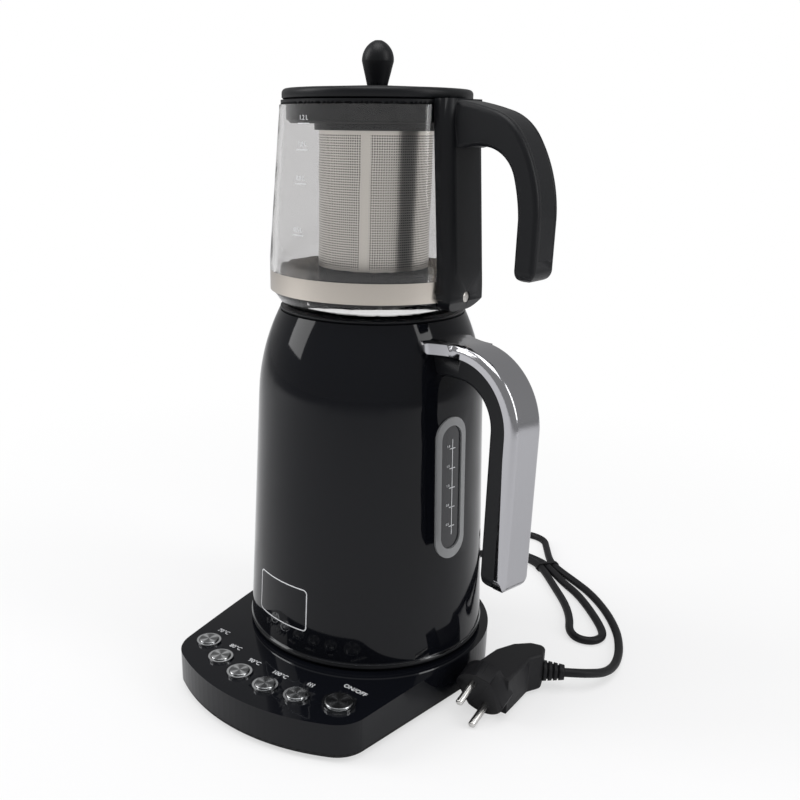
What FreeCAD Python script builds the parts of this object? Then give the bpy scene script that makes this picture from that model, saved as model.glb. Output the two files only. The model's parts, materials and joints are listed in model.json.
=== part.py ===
"""Automatic tea maker: a power base with six buttons, a kettle that lifts off and turns on it,
a glass jug that stands in the kettle's mouth, an infuser that hangs in the jug, and a lid.
Millimetres, +Z up, the origin on the table under the middle of the dock, the buttons towards -Y."""
import FreeCAD, Part
import Sketcher
import math
import os

DIMS = {
    # Power base
    "foot_height": 3.0, "foot_radius": 7.0, "base_radius": 89.5, "base_reach": 139.0, "side_lean": 7.3,
    "base_corner": 24.0, "base_wall": 2.5, "tray_height": 3.0, "platform_height": 30.5, "panel_drop": 3.0,
    "panel_start": 84.0, "tray_inset": 1.2, "base_edge": 1.6,
    # Buttons, on an arc about the dock
    "button_arc": 118.0, "button_pitch": 11.4, "first_button": -31.0, "power_angle": 28.2,
    "small_bezel": 8.4, "power_bezel": 10.7, "bezel_rim": 1.5, "bezel_height": 2.2, "cap_gap": 0.35,
    "cap_rise": 0.9, "button_travel": 1.0, "spot_depth": 0.3,
    # Dock
    "dock_radius": 17.0, "dock_height": 8.0, "dock_gap": 0.5, "socket_wall": 5.0, "kettle_gap": 0.6,
    # Kettle
    "kettle_turn": -12.0, "kettle_foot": 83.0, "kettle_waist": 75.0, "kettle_rim": 60.6,
    "foot_ring_height": 4.0, "trim_height": 1.2, "waist_height": 200.0,
    "rim_height": 254.6, "kettle_wall": 2.5, "shoulder_arc": 135.0, "heater_height": 44.0,
    "heater_thick": 1.5, "mouth_radius": 44.5, "mouth_wall": 1.8, "mouth_thick": 2.8, "nest_depth": 3.0,
    # Level window
    "window_low": 103.7, "window_high": 197.7, "window_width": 26.0, "window_rim": 4.2, "window_raise": 1.2,
    "tube_width": 7.0,
    # Kettle handle
    "arch_x": 88.0, "arch_z": 199.0, "arch_inner": 26.3, "arch_split": 39.5, "arch_outer": 47.0,
    "grip_end": 109.0, "core_width": 21.0, "cover_width": 25.0, "flare_width": 38.0,
    # Jug
    "jug_turn": -4.5, "jug_rim": 59.5, "jug_belly": 66.4, "jug_foot": 57.5, "jug_height": 120.1,
    "belly_height": 29.5, "glass_wall": 2.6, "glass_floor": 4.0, "band_low": 10.2, "band_high": 22.6,
    "band_thick": 1.0, "foot_round": 12.0,
    # Jug handle
    "column_width": 36.0, "column_depth": 8.0, "column_low": 4.5, "grip_width": 23.0, "grip_reach": 124.2,
    "grip_thick": 13.2, "grip_low": 27.0, "strip_width": 13.0, "strip_depth": 1.6,
    # Infuser
    "flange_radius": 58.6, "flange_thick": 2.7, "skirt_radius": 55.2, "skirt_depth": 10.6, "holder_wall": 2.0,
    "collar_radius": 38.0, "collar_depth": 14.4, "mesh_radius": 35.2, "mesh_wall": 0.8, "mesh_length": 84.0,
    "cup_height": 14.8, "seat_gap": 0.3,
    # Lid and knob
    "lid_radius": 58.0, "lid_thick": 6.2, "lid_dome": 2.2, "lid_round": 2.8, "plug_radius": 35.3,
    "plug_depth": 7.0, "knob_neck": 6.2, "knob_radius": 9.6, "knob_height": 25.0, "knob_crown": 11.6,
    "knob_tip": 2.0,
    # Supply cord and plug
    "cord_radius": 3.1, "plug_pin": 2.4, "pin_length": 19.0, "pin_spacing": 19.0,
}

doc = FreeCAD.newDocument("tea_maker")
sheet = doc.addObject("Spreadsheet::Sheet", "Dims")
for row, (alias, number) in enumerate(DIMS.items(), start=1):
    sheet.set("A%d" % row, alias)
    sheet.set("B%d" % row, str(number))
    sheet.setAlias("B%d" % row, alias)
doc.recompute()


class Size:
    """A dimension: its number now, and the expression over the sheet that keeps it current."""

    def __init__(self, value, text):
        self.value = value
        self.text = text

    def _join(self, other, sign, value):
        return Size(value, "(%s %s %s)" % (self.text, sign, size(other).text))

    def __add__(self, other):
        return self._join(other, "+", self.value + size(other).value)

    def __sub__(self, other):
        return self._join(other, "-", self.value - size(other).value)

    def __mul__(self, other):
        return self._join(other, "*", self.value * size(other).value)

    def __truediv__(self, other):
        return self._join(other, "/", self.value / size(other).value)

    def __radd__(self, other):
        return size(other) + self

    def __rsub__(self, other):
        return size(other) - self

    def __rmul__(self, other):
        return size(other) * self

    def __neg__(self):
        return size(0) - self


def size(number):
    return number if isinstance(number, Size) else Size(float(number), repr(float(number)))


def sine(degrees):
    degrees = size(degrees)
    return Size(math.sin(math.radians(degrees.value)), "sin(%s * 1 deg)" % degrees.text)


def cosine(degrees):
    degrees = size(degrees)
    return Size(math.cos(math.radians(degrees.value)), "cos(%s * 1 deg)" % degrees.text)


class Dimensions:
    """The sheet's cells by name."""

    def __getattr__(self, alias):
        return Size(float(sheet.get(alias)), "Dims.%s" % alias)


D = Dimensions()


def bind(obj, prop, value):
    obj.setExpression(prop, size(value).text)


def point(pair):
    return FreeCAD.Vector(size(pair[0]).value, size(pair[1]).value, 0)


def arc_between(start, end, bend):
    """The short arc from start to end, its radius |bend|, turning left where bend is positive."""
    radius = abs(bend)
    chord = end - start
    left = FreeCAD.Vector(-chord.y, chord.x, 0).normalize()
    if bend < 0:
        left = -left
    centre = (start + end) * 0.5 + left * math.sqrt(max(radius ** 2 - (chord.Length / 2) ** 2, 0.0))
    first, last = (start, end) if bend > 0 else (end, start)
    angles = [math.atan2(p.y - centre.y, p.x - centre.x) for p in (first, last)]
    return Part.ArcOfCircle(Part.Circle(centre, FreeCAD.Vector(0, 0, 1), radius), angles[0], angles[1])


def pin_point(sketch, geometry, end, pair):
    """Hold one end point at its bound distances from the sketch's axes."""
    for kind, axis, value in (("DistanceX", -2, size(pair[0])), ("DistanceY", -1, size(pair[1]))):
        if value.text == "0.0":
            sketch.addConstraint(Sketcher.Constraint("PointOnObject", geometry, end, axis))
            continue
        index = sketch.addConstraint(Sketcher.Constraint(kind, -1, 1, geometry, end, value.value))
        if "Dims" in value.text:
            sketch.setExpression("Constraints[%d]" % index, value.text)


def draw(sketch, corners):
    """A closed outline. A corner is (x, y), or (x, y, bend) where an arc of that radius leads to it."""
    first = sketch.GeometryCount
    count = len(corners)
    ends = []
    for i in range(count):
        start, target = corners[i], corners[(i + 1) % count]
        if len(target) == 3:
            bend = size(target[2])
            sketch.addGeometry(arc_between(point(start), point(target), bend.value))
            ends.append((1, 2) if bend.value > 0 else (2, 1))
        else:
            sketch.addGeometry(Part.LineSegment(point(start), point(target)))
            ends.append((1, 2))
    for i in range(count):
        j = (i + 1) % count
        sketch.addConstraint(Sketcher.Constraint("Coincident", first + i, ends[i][1], first + j, ends[j][0]))
    for i in range(count):
        pin_point(sketch, first + i, ends[i][0], corners[i])
        if len(corners[(i + 1) % count]) == 3:
            bend = size(corners[(i + 1) % count][2])
            radius = bend if bend.value > 0 else -bend
            index = sketch.addConstraint(Sketcher.Constraint("Radius", first + i, radius.value))
            if "Dims" in radius.text:
                sketch.setExpression("Constraints[%d]" % index, radius.text)


def new_sketch(body, role, outlines, lift=None):
    sketch = body.newObject("Sketcher::SketchObject", body.Name + "_outline")
    plane = [o for o in body.Origin.OriginFeatures if o.Role == role][0]
    sketch.AttachmentSupport = [(plane, "")]
    sketch.MapMode = "FlatFace"
    if lift is not None:
        bind(sketch, "AttachmentOffset.Base.z", lift)
    for outline in outlines:
        draw(sketch, outline)
    return sketch


def revolved(name, *outlines):
    """A turned piece: outlines of (radius, height) about the vertical axis."""
    body = doc.addObject("PartDesign::Body", name)
    sketch = new_sketch(body, "XZ_Plane", outlines)
    turn = body.newObject("PartDesign::Revolution", name + "_turned")
    turn.Profile = sketch
    turn.ReferenceAxis = (sketch, ["V_Axis"])
    turn.Angle = 360
    doc.recompute()
    return body


def ring(name, outer, inner, low, high):
    return revolved(name, [(inner, low), (outer, low), (outer, high), (inner, high)])


def disc(name, outer, low, high):
    return revolved(name, [(0, low), (outer, low), (outer, high), (0, high)])


def padded(name, role, outlines, length, symmetric=False, lift=None, backwards=False):
    body = doc.addObject("PartDesign::Body", name)
    sketch = new_sketch(body, role, outlines, lift)
    pad = body.newObject("PartDesign::Pad", name + "_pad")
    pad.Profile = sketch
    pad.SideType = "Symmetric" if symmetric else "One side"
    pad.Reversed = backwards
    bind(pad, "Length", length)
    doc.recompute()
    return body


def edges_of(shape, wanted):
    return ["Edge%d" % (i + 1) for i, edge in enumerate(shape.Edges) if wanted(edge)]


def soften(body, radius, wanted, kind="Fillet"):
    """Round or chamfer the edges of a body that the test picks."""
    tip = body.Tip
    names = edges_of(tip.Shape, wanted)
    if not names:
        raise RuntimeError("no edge to soften on " + body.Name)
    feature = body.newObject("PartDesign::" + kind, body.Name + "_" + kind.lower())
    feature.Base = (tip, names)
    bind(feature, "Radius" if kind == "Fillet" else "Size", radius)
    doc.recompute()
    return body


def at_rim(radius, height):
    radius, height = size(radius).value, size(height).value

    def wanted(edge):
        curve = edge.Curve
        if not isinstance(curve, Part.Circle):
            return False
        return abs(curve.Radius - radius) < 0.02 and abs(curve.Center.z - height) < 0.02
    return wanted


def on_side(half_width, upright, bends):
    """The edges in the side faces of a piece padded about the XZ plane: lines at x = upright, and those bends."""
    half, upright = size(half_width).value, size(upright).value
    radii = [size(bend).value for bend in bends]

    def wanted(edge):
        box = edge.BoundBox
        if abs(abs(box.Center.y) - half) > 0.01 or box.YLength > 0.01:
            return False
        if isinstance(edge.Curve, Part.Circle):
            return any(abs(edge.Curve.Radius - radius) < 0.01 for radius in radii)
        return box.XLength < 0.01 and abs(box.Center.x - upright) < 0.01
    return wanted


def cylinder(name, radius, low, height, x=0, y=0):
    solid = doc.addObject("Part::Cylinder", name)
    bind(solid, "Radius", radius)
    bind(solid, "Height", height)
    for axis, value in (("x", x), ("y", y), ("z", low)):
        bind(solid, "Placement.Base." + axis, value)
    return solid


def boolean(kind, name, first, second):
    result = doc.addObject("Part::" + kind, name)
    result.Base = first
    result.Tool = second
    doc.recompute()
    return result


def fused(name, pieces):
    result = doc.addObject("Part::MultiFuse", name)
    result.Shapes = pieces
    result.Refine = True
    doc.recompute()
    return result


def shared(name, pieces):
    result = doc.addObject("Part::MultiCommon", name)
    result.Shapes = pieces
    doc.recompute()
    return result


def grouped(name, pieces):
    result = doc.addObject("Part::Compound", name)
    result.Links = pieces
    doc.recompute()
    return result


nodes = []


def node(obj, turn=None):
    """Name a finished piece, and turn it about the vertical axis with the body that it belongs to."""
    if turn is not None:
        obj.Placement = FreeCAD.Placement(FreeCAD.Vector(), FreeCAD.Rotation(FreeCAD.Vector(0, 0, 1), turn.value))
        bind(obj, "Placement.Rotation.Angle", turn)
    nodes.append(obj)
    return obj


# Power base: the outline is a circle about the dock with a tongue to the front, whose sides lean in
# and whose front edge is an arc about the same centre
base_top = D.platform_height


def footprint(name, inset, low, high):
    """The base's outline, drawn in by inset, as a solid from low to high."""
    radius, reach = D.base_radius - inset, D.base_reach - inset
    front_x = radius / cosine(D.side_lean) - (reach + 4) * sine(D.side_lean) / cosine(D.side_lean)
    back_x = radius * cosine(D.side_lean)
    back_y = radius * sine(D.side_lean)
    tongue = padded(name + "_tongue", "XY_Plane",
                    [[(back_x, -back_y), (-back_x, -back_y), (-front_x, -(reach + 4)), (front_x, -(reach + 4))]],
                    high - low, lift=low)
    arc = cylinder(name + "_arc", reach, low, high - low)
    front = shared(name + "_front", [tongue, arc])
    rear = cylinder(name + "_rear", radius, low, high - low)
    whole = fused(name + "_whole", [front, rear])
    rounded = doc.addObject("Part::Fillet", name)
    rounded.Base = whole
    corner = D.base_corner - inset
    edges = []
    for i, edge in enumerate(whole.Shape.Edges):
        box = edge.BoundBox
        upright = box.XLength < 1e-4 and box.YLength < 1e-4
        if upright and math.hypot(box.Center.x, box.Center.y) > radius.value + 5:
            edges.append((i + 1, corner.value, corner.value))
    rounded.Edges = edges
    doc.recompute()
    return rounded


def panel_height(radius):
    return D.platform_height - D.panel_drop * (radius - D.panel_start) / (D.base_reach - D.panel_start)


def above_panel(name, below):
    """What is cut away over the panel, or over its inner face at that depth below it."""
    inner, outer = D.panel_start, D.base_reach + 20
    return revolved(name, [(inner, panel_height(inner) - below), (outer, panel_height(outer) - below),
                           (outer, base_top + 20), (inner, base_top + 20)])


cover_low = D.foot_height + D.tray_height
outside = boolean("Cut", "cover_outside", footprint("cover_block", size(0), cover_low, base_top),
                  above_panel("cover_slope", size(0)))
inside = boolean("Cut", "cover_inside",
                 footprint("cover_hollow", D.base_wall, cover_low - 1, base_top - D.base_wall),
                 above_panel("cover_hollow_slope", D.base_wall))
cover_shell = boolean("Cut", "cover_shell", outside, inside)

button_angles = [D.first_button + D.button_pitch * i for i in range(5)] + [D.power_angle]
button_names = ["button_70", "button_80", "button_90", "button_100", "button_keep_warm", "button_power"]
bezel_radii = [D.small_bezel] * 5 + [D.power_bezel]
seat_z = panel_height(D.button_arc + D.power_bezel) - D.spot_depth
bezel_top = seat_z + D.bezel_height
cap_skirt = D.base_wall + 1.5


def button_place(angle):
    return D.button_arc * sine(angle), -D.button_arc * cosine(angle)


cuts, bezels, caps, switches = [], [], [], []
for i, (angle, bezel) in enumerate(zip(button_angles, bezel_radii)):
    x, y = button_place(angle)
    sleeve = bezel - D.bezel_rim * 0.5
    bore = bezel - D.bezel_rim
    cuts.append(cylinder("spot_%d" % i, bezel, seat_z, size(20), x, y))
    cuts.append(cylinder("bore_%d" % i, sleeve, seat_z - 20, size(21), x, y))
    rim = cylinder("rim_%d" % i, bezel, seat_z, D.bezel_height, x, y)
    tube = cylinder("tube_%d" % i, sleeve, seat_z - cap_skirt, cap_skirt + 0.5, x, y)
    hole = cylinder("hole_%d" % i, bore, seat_z - cap_skirt - 1, size(12), x, y)
    bezels.append(boolean("Cut", "bezel_%d" % i, fused("bezel_solid_%d" % i, [rim, tube]), hole))
    cap_low = seat_z - cap_skirt - 1.5
    shank = cylinder("shank_%d" % i, bore - D.cap_gap, cap_low, bezel_top + D.cap_rise - cap_low, x, y)
    stop = cylinder("stop_%d" % i, sleeve, cap_low, size(1.2), x, y)
    cap_solid = fused("cap_solid_%d" % i, [shank, stop])
    rounding = doc.addObject("Part::Fillet", button_names[i])
    rounding.Base = cap_solid
    top = (bezel_top + D.cap_rise).value
    rounding.Edges = [(k + 1, 0.6, 0.6) for k, edge in enumerate(cap_solid.Shape.Edges)
                      if isinstance(edge.Curve, Part.Circle) and abs(edge.Curve.Center.z - top) < 0.01]
    doc.recompute()
    caps.append(rounding)
    body_low = cap_low - D.button_travel - 0.3
    plunger = cylinder("plunger_%d" % i, size(1.8), body_low - 2, size(2), x, y)
    case = doc.addObject("Part::Box", "case_%d" % i)
    for prop, value in (("Length", 6), ("Width", 6), ("Height", 2.5)):
        bind(case, prop, value)
    for axis, value in (("x", x - 3), ("y", y - 3), ("z", body_low - 4.5)):
        bind(case, "Placement.Base." + axis, value)
    switches.append(fused("switch_%d" % i, [case, plunger]))

board_top = seat_z - cap_skirt - 1.5 - D.button_travel - 0.3 - 4.5
board_thick = size(1.6)


def sector(name, outer, inner, low, high, half_angle):
    """A flat piece of a ring about the dock, spread half_angle either side of the front."""
    blank = ring(name + "_ring", outer, inner, low, high)
    reach = outer + 10
    wedge = padded(name + "_wedge", "XY_Plane",
                   [[(0, 0), (-reach * sine(half_angle), -reach * cosine(half_angle)),
                     (reach * sine(half_angle), -reach * cosine(half_angle))]], high - low + 2, lift=low - 1)
    return shared(name, [blank, wedge])


control_board = sector("control_board", D.button_arc + 12, D.button_arc - 16, board_top - board_thick, board_top,
                       size(35))

# Dock: the barrel of a connector that works at any angle, and its hole in the platform
dock_hole = cylinder("dock_hole", D.dock_radius, base_top - 10, size(20))
gland_z = cover_low + 8
gland_y = D.base_radius - D.base_wall - 3
gland_hole = doc.addObject("Part::Cylinder", "gland_hole")
bind(gland_hole, "Radius", D.cord_radius + 2.2)
bind(gland_hole, "Height", D.base_wall + 12)
gland_hole.Placement = FreeCAD.Placement(FreeCAD.Vector(), FreeCAD.Rotation(FreeCAD.Vector(1, 0, 0), -90))
bind(gland_hole, "Placement.Base.y", gland_y)
bind(gland_hole, "Placement.Base.z", gland_z)
doc.recompute()
openings = fused("cover_cuts", cuts + [dock_hole, gland_hole])
node(boolean("Cut", "base_cover", cover_shell, openings))

tray_plate = footprint("tray_plate", D.tray_inset, D.foot_height, cover_low)
tray_lip = boolean("Cut", "tray_lip", footprint("lip_outer", D.base_wall + 0.3, cover_low, cover_low + 4),
                   footprint("lip_inner", D.base_wall + 2.3, cover_low - 1, cover_low + 5))
posts = []
for i, angle in enumerate((-28, 0, 28)):
    posts.append(cylinder("post_%d" % i, size(3.5), cover_low - 1, board_top - board_thick - cover_low + 1,
                          D.button_arc * sine(angle) * 0.93, -D.button_arc * cosine(angle) * 0.93))
pillar = cylinder("dock_pillar", D.dock_radius + 4, cover_low - 1, base_top - D.base_wall - cover_low - 3)
gland_room = cylinder("gland_room", D.cord_radius + 4.1, 0, size(14))
gland_room.Placement = FreeCAD.Placement(FreeCAD.Vector(), FreeCAD.Rotation(FreeCAD.Vector(1, 0, 0), -90))
bind(gland_room, "Placement.Base.y", gland_y - 1)
bind(gland_room, "Placement.Base.z", gland_z)
tray_solid = fused("tray_solid", [tray_plate, tray_lip, pillar] + posts)
node(boolean("Cut", "base_tray", tray_solid, gland_room))

foot_places = [(0.0, 76.0), (130.0, 76.0), (-130.0, 76.0), (-26.0, 122.0), (26.0, 122.0),
               (0.0, 0.0)]
feet, screws = [], []
for i, (angle, reach) in enumerate(foot_places):
    away = angle + (0 if reach > 100 else 180)
    x, y = size(reach) * sine(away), -size(reach) * cosine(away)
    foot = cylinder("foot_%d" % i, D.foot_radius, 0, D.foot_height, x, y)
    doc.recompute()
    edge = [k + 1 for k, e in enumerate(foot.Shape.Edges) if e.BoundBox.ZMax < 0.01]
    worn = doc.addObject("Part::Chamfer", "foot_edge_%d" % i)
    worn.Base = foot
    worn.Edges = [(k, 0.8, 0.8) for k in edge]
    feet.append(worn)
    if i < 4:
        screws.append(cylinder("screw_%d" % i, size(3.2), D.foot_height - 1.2, size(1.2), x * 0.8, y * 0.8))
doc.recompute()
node(grouped("base_feet", feet))
node(grouped("base_screws", screws))
node(control_board)
node(grouped("tact_switches", switches))
node(grouped("button_bezels", bezels))

barrel_top = base_top + D.dock_height
collar_z = base_top - D.base_wall
node(revolved("dock_connector",
              [(0, collar_z - 3), (D.dock_radius + 3, collar_z - 3), (D.dock_radius + 3, collar_z),
               (D.dock_radius, collar_z), (D.dock_radius, barrel_top), (D.dock_radius - 3.5, barrel_top),
               (D.dock_radius - 3.5, base_top), (6, base_top), (6, barrel_top - 1.5), (2.5, barrel_top - 1.5),
               (2.5, base_top + 1), (0, base_top + 1)]))

# Cord gland: a ribbed sleeve in the wall at the back, with the cord's bore right through
gland_out = D.base_radius + 9


def along_y(body):
    """Lay a piece that was turned about the vertical axis along +Y at the gland."""
    body.Placement = FreeCAD.Placement(FreeCAD.Vector(), FreeCAD.Rotation(FreeCAD.Vector(1, 0, 0), -90))
    bind(body, "Placement.Base.z", gland_z)
    return body


gland_radius = D.cord_radius + 2.2
gland_steps = [(D.cord_radius, gland_y), (gland_radius + 1.5, gland_y),
               (gland_radius + 1.5, D.base_radius - D.base_wall - 0.8), (gland_radius, D.base_radius - D.base_wall - 0.8)]
for k in range(3):
    near = D.base_radius + 1.5 + 2.4 * k
    gland_steps += [(gland_radius - 0.4 * k, near), (gland_radius - 1.0 - 0.3 * k, near),
                    (gland_radius - 1.0 - 0.3 * k, near + 1.0), (gland_radius - 0.4 * k, near + 1.0)]
gland_steps += [(gland_radius - 1.2, gland_out), (D.cord_radius, gland_out)]
node(along_y(revolved("cord_gland", gland_steps)))

for cap in caps:
    node(cap)

# Kettle: socket, foot ring, trim line, shell with its shoulder, heater, mouth
kettle = D.kettle_turn
kettle_low = base_top + D.kettle_gap
socket_bore = D.dock_radius + D.dock_gap
socket_outer = socket_bore + D.socket_wall
socket_top = barrel_top + D.dock_gap + 3
node(revolved("kettle_socket",
              [(7, kettle_low + 1), (D.dock_radius - 4, kettle_low + 1), (D.dock_radius - 4, barrel_top + D.dock_gap),
               (socket_bore, barrel_top + D.dock_gap), (socket_bore, kettle_low), (socket_outer, kettle_low),
               (socket_outer, socket_top), (0, socket_top), (0, barrel_top - 1), (7, barrel_top - 1)]))

trim_low = kettle_low + D.foot_ring_height
shell_low = trim_low + D.trim_height
wall = D.kettle_wall


def shell_radius(height):
    """The outer radius of the kettle's lower cone at a height."""
    return D.kettle_foot + (D.kettle_waist - D.kettle_foot) * (height - shell_low) / (D.waist_height - shell_low)


plate_hole = socket_outer + 0.4
ledge = shell_radius(D.heater_height) - wall - 3
foot_ring = revolved("kettle_foot_ring",
                     [(plate_hole, kettle_low + 0.4), (D.kettle_foot - 1.5, kettle_low),
                      (D.kettle_foot + 0.4, kettle_low + 1.6),
                      (D.kettle_foot + 0.4, trim_low), (D.kettle_foot - wall - 0.4, trim_low),
                      (D.kettle_foot - wall - 0.4, shell_low + 2), (ledge, shell_low + 2),
                      (ledge, D.heater_height), (ledge - 3, D.heater_height), (ledge - 3, kettle_low + 3),
                      (plate_hole + 2, kettle_low + 3), (plate_hole + 2, socket_top), (plate_hole, socket_top)])
node(foot_ring, kettle)
node(ring("kettle_trim", D.kettle_foot + 0.6, D.kettle_foot - wall - 0.4, trim_low, shell_low), kettle)


def kettle_form(name, grow, low, closed):
    """The kettle's outside, grown by grow: a closed solid of it, or its wall as a shell of the same form."""
    waist, rim, arc = D.kettle_waist + grow, D.kettle_rim + grow, D.shoulder_arc + grow
    outer = [(shell_radius(size(low)) + grow, low), (waist, D.waist_height), (rim, D.rim_height, arc)]
    if closed:
        return revolved(name, [(0, low)] + outer + [(0, D.rim_height)])
    inner = [(rim - wall, D.rim_height), (waist - wall, D.waist_height, wall - arc),
             (shell_radius(size(low)) + grow - wall, low)]
    return revolved(name, outer + inner)


def stadium(half_width, low, high):
    return [(-half_width, low + half_width), (0, low, half_width), (half_width, low + half_width, half_width),
            (half_width, high - half_width), (0, high, half_width), (-half_width, high - half_width, half_width)]


half_window = D.window_width / 2
half_lens = half_window - D.window_rim
window_block = padded("window_block", "YZ_Plane", [stadium(half_window, D.window_low, D.window_high)],
                      D.kettle_foot + 20)
lens_block = padded("lens_block", "YZ_Plane",
                    [stadium(half_lens, D.window_low + D.window_rim * 1.5, D.window_high - D.window_rim * 1.3)],
                    D.kettle_foot + 20)
shell_wall = kettle_form("kettle_wall_form", size(0), shell_low, False)
node(boolean("Cut", "kettle_shell", shell_wall, window_block), kettle)


def wall_slice(name, inner, outer):
    """A sleeve that follows the lower cone, between two depths measured from its surface."""
    low, high = D.window_low - 5, D.window_high + 5
    return revolved(name, [(shell_radius(low) - inner, low), (shell_radius(low) + outer, low),
                           (shell_radius(high) + outer, high), (shell_radius(high) - inner, high)])


frame_block = boolean("Cut", "frame_block", window_block, lens_block)
node(shared("window_frame", [frame_block, wall_slice("frame_sleeve", wall, D.window_raise)]), kettle)
node(shared("window_lens", [lens_block, wall_slice("lens_sleeve", wall, size(0))]), kettle)
tube_block = padded("tube_block", "YZ_Plane",
                    [stadium(D.tube_width / 2, D.window_low + 12, D.window_high - 12)], D.kettle_foot + 20)
node(shared("level_tube", [tube_block, wall_slice("tube_sleeve", wall + 5, -wall)]), kettle)

heater_radius = shell_radius(D.heater_height) - wall - 0.4
node(revolved("heater_plate",
              [(0, D.heater_height), (heater_radius, D.heater_height), (heater_radius, D.heater_height + 1.5),
               (heater_radius - 8, D.heater_height + D.heater_thick), (heater_radius - 11, D.heater_height + 3.5),
               (0, D.heater_height + 3.5)]), kettle)

ring_top = D.rim_height + D.mouth_thick
mouth_outer = D.mouth_radius + D.mouth_wall
node(revolved("mouth_ring",
              [(D.mouth_radius, D.rim_height - 8), (mouth_outer, D.rim_height - 8), (mouth_outer, D.rim_height),
               (D.kettle_rim - 0.6, D.rim_height), (D.kettle_rim - 0.6, ring_top - 1), (D.kettle_rim - 1.6, ring_top),
               (mouth_outer, ring_top), (mouth_outer, ring_top + D.nest_depth - 0.6),
               (D.mouth_radius, ring_top + D.nest_depth - 0.6)]), kettle)

# Kettle handle: an arch out of the shoulder and a grip with a free end, a black core inside a bright cover
core_half = D.core_width / 2
cover_half = D.cover_width / 2
inner_x = D.arch_x + D.arch_inner
split_x = D.arch_x + D.arch_split
outer_x = D.arch_x + D.arch_outer
end_radius = (D.arch_outer - D.arch_inner) / 2
end_x = D.arch_x + D.arch_inner + end_radius
end_z = D.grip_end - end_radius
root_x = size(56)
kettle_solid = kettle_form("kettle_outline", size(0), shell_low, True)
core_pad = padded("core_pad", "XZ_Plane",
                  [[(root_x, D.arch_z + D.arch_inner), (D.arch_x, D.arch_z + D.arch_inner),
                    (inner_x, D.arch_z, -D.arch_inner), (inner_x, D.grip_end), (end_x, end_z, end_radius),
                    (end_x, end_z + 5), (split_x, D.grip_end),
                    (split_x, D.arch_z), (D.arch_x, D.arch_z + D.arch_split, D.arch_split),
                    (root_x, D.arch_z + D.arch_split)]], D.core_width, symmetric=True)
soften(core_pad, 2.5, on_side(core_half, inner_x, [D.arch_inner, end_radius]))
tip_low = end_z


def rounded_end(name, half_width, bend, low, high):
    """A block along X whose lower corners are round, to round the end of a handle with."""
    return padded(name, "YZ_Plane",
                  [[(bend - half_width, low, bend), (half_width - bend, low), (half_width, low + bend, bend),
                    (half_width, high), (-half_width, high), (-half_width, low + bend)]], D.grip_reach + 40)


core_end = rounded_end("core_end", core_half + 0.01, core_half - 1, tip_low, D.rim_height + 20)
core_shaped = shared("core_shaped", [core_pad, core_end])
node(boolean("Cut", "kettle_handle_core", core_shaped, kettle_solid), kettle)

cover_pad = padded("cover_pad", "XZ_Plane",
                   [[(root_x, D.arch_z + D.arch_split), (D.arch_x, D.arch_z + D.arch_split),
                     (split_x, D.arch_z, -D.arch_split), (split_x, D.grip_end), (end_x, end_z + 5), (end_x, end_z),
                     (outer_x, D.grip_end, end_radius), (outer_x, D.arch_z),
                     (D.arch_x, D.arch_z + D.arch_outer, D.arch_outer), (root_x, D.arch_z + D.arch_outer)]],
                   D.cover_width, symmetric=True)
soften(cover_pad, 4.0, on_side(cover_half, outer_x, [D.arch_outer, end_radius]))
flare_low, flare_high = D.arch_z + D.arch_split + 0.4, D.arch_z + D.arch_outer - 0.6
flare_pad = padded("flare_pad", "XY_Plane",
                   [[(root_x, -D.flare_width / 2), (D.arch_x - 18, -D.flare_width / 2),
                     (D.arch_x + 6, -cover_half + 1, -40), (D.arch_x + 6, cover_half - 1),
                     (D.arch_x - 18, D.flare_width / 2, -40), (root_x, D.flare_width / 2)]],
                   flare_high - flare_low, lift=flare_low)
cover_tip = rounded_end("cover_tip", cover_half + 0.01, cover_half - 1, tip_low, D.rim_height + 20)
cover_shaped = shared("cover_shaped", [cover_pad, cover_tip])
cover_whole = fused("cover_whole", [cover_shaped, flare_pad])
node(boolean("Cut", "kettle_handle_cover", cover_whole, kettle_solid), kettle)

# Jug: all heights from the plane where it stands in the kettle's mouth
jug = D.jug_turn
seat = ring_top
rim_z = seat + D.jug_height
belly_z = seat + D.belly_height
glass = D.glass_wall
nest_radius = mouth_outer + 0.6
floor_z = seat + D.nest_depth + 1
band_depth = D.band_thick + 0.2
glass_outer = [(nest_radius, seat), (D.jug_foot - 2, seat), (D.jug_foot + 1.5, seat + 1.6),
               (D.jug_belly - band_depth, seat + D.band_low), (D.jug_belly - band_depth, seat + D.band_high),
               (D.jug_belly, seat + D.band_high), (D.jug_belly, belly_z), (D.jug_rim, rim_z - 3), (D.jug_rim, rim_z)]
glass_inner = [(D.jug_rim - glass, rim_z), (D.jug_rim - glass, rim_z - 3), (D.jug_belly - glass - band_depth, belly_z - 2),
               (D.jug_belly - glass - band_depth, floor_z + D.glass_floor + 6), (D.jug_foot - 3, floor_z + D.glass_floor),
               (0, floor_z + D.glass_floor), (0, floor_z), (nest_radius, floor_z)]
jug_glass = revolved("jug_glass", glass_outer + glass_inner)
node(jug_glass, jug)
node(ring("jug_band", D.jug_belly, D.jug_belly - band_depth, seat + D.band_low, seat + D.band_high), jug)


def glass_radius(height):
    return D.jug_belly + (D.jug_rim - D.jug_belly) * (height - belly_z) / (rim_z - 3 - belly_z)


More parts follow.
